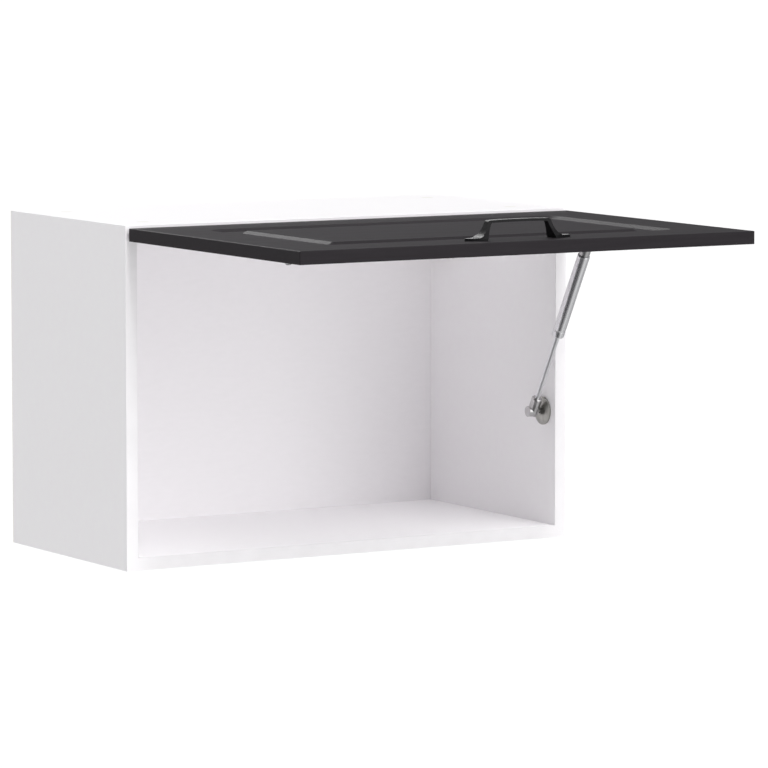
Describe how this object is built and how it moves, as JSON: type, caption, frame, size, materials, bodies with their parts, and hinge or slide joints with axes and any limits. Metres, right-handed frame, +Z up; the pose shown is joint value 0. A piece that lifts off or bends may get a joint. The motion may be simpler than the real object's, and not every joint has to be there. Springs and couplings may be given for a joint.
{
  "type": "kitchen wall cabinet",
  "caption": "Wide kitchen wall cabinet with an open carcass and a top-hung flap door with a routed frame, a bow handle and a gas strut that holds the flap up.",
  "frame": {"origin": "on the wall plane, in the middle of the carcass's lower edge", "axes": "+X to the viewer's right along the width, +Y into the wall, +Z up; the front faces -Y"},
  "size_m": [0.6, 0.6954, 0.4203],
  "materials": {
    "white_board": "white melamine-faced board, matt",
    "edge_band": "white edge band",
    "hardboard": "white hardboard",
    "zinc_steel": "bright zinc plate",
    "nickel": "nickel plate",
    "chrome": "bright chrome",
    "strut_paint": "light grey paint",
    "white_plastic": "white moulded plastic",
    "beech": "plain beech",
    "black_film": "fibreboard wrapped in matt black film",
    "black_metal": "black powder coat",
    "clear_pad": "soft clear pad",
    "grey_plastic": "grey moulded plastic",
    "seal_rubber": "black rubber"
  },
  "bodies": {
    "carcass": {"side_panel_left": "white_board", "side_panel_right": "white_board", "top_panel": "white_board", "bottom_panel": "white_board", "front_edge_bands": "edge_band", "back_panel": "hardboard", "back_panel_nails": "zinc_steel", "cam_locks": "zinc_steel", "cam_covers": "white_plastic", "cam_bolts": "zinc_steel", "panel_dowels": "beech", "hanger_housing_left": "white_plastic", "hanger_housing_right": "white_plastic", "hanger_hook_left": "zinc_steel", "hanger_hook_right": "zinc_steel", "hanger_screws": "zinc_steel", "hinge_plate_left": "nickel", "hinge_plate_right": "nickel", "hinge_arm_left": "nickel", "hinge_arm_right": "nickel", "hinge_plate_screws": "zinc_steel", "hinge_adjust_screws": "zinc_steel", "strut_base_plate": "zinc_steel", "strut_base_stud": "nickel", "strut_base_screws": "zinc_steel", "strut_base_cover": "chrome"},
    "flap": {"flap_panel": "black_film", "handle": "black_metal", "handle_screws": "zinc_steel", "hinge_cup_left": "nickel", "hinge_cup_right": "nickel", "hinge_cup_screws": "zinc_steel", "hinge_pins": "nickel", "door_bumpers": "clear_pad", "strut_bracket": "zinc_steel", "strut_bracket_stud": "nickel", "strut_bracket_screws": "zinc_steel"},
    "strut_tube": {"strut_tube": "strut_paint", "strut_rod_guide": "grey_plastic", "strut_rod_seal": "seal_rubber", "strut_end_plug": "zinc_steel", "strut_upper_socket": "nickel"},
    "strut_rod": {"strut_rod": "chrome", "strut_piston": "grey_plastic", "strut_lower_socket": "nickel", "strut_lower_ball": "nickel"}
  },
  "joints": [
    {"name": "flap_hinge", "type": "hinge", "parent": "carcass", "child": "flap", "pos_m": [0, -0.3058, 0.3911], "axis": [1, 0, 0], "range_deg": [0, 90]},
    {"name": "strut_upper_pivot", "type": "hinge", "parent": "flap", "child": "strut_tube", "pos_m": [0.27, -0.389, 0.365], "axis": [1, 0, 0], "range_deg": [-115.3, 0]},
    {"name": "strut_slide", "type": "slide", "parent": "strut_tube", "child": "strut_rod", "axis": [0, -0.4971, 0.8677], "range_m": [0, 0.08905], "stiffness_N_per_m": 60, "springref_m": -2}
  ],
  "couplings": [
    {"joint": "strut_upper_pivot", "follows": "flap_hinge", "ratio": -1.2801},
    {"joint": "strut_slide", "follows": "flap_hinge", "m_per_rad": 0.05667}
  ]
}
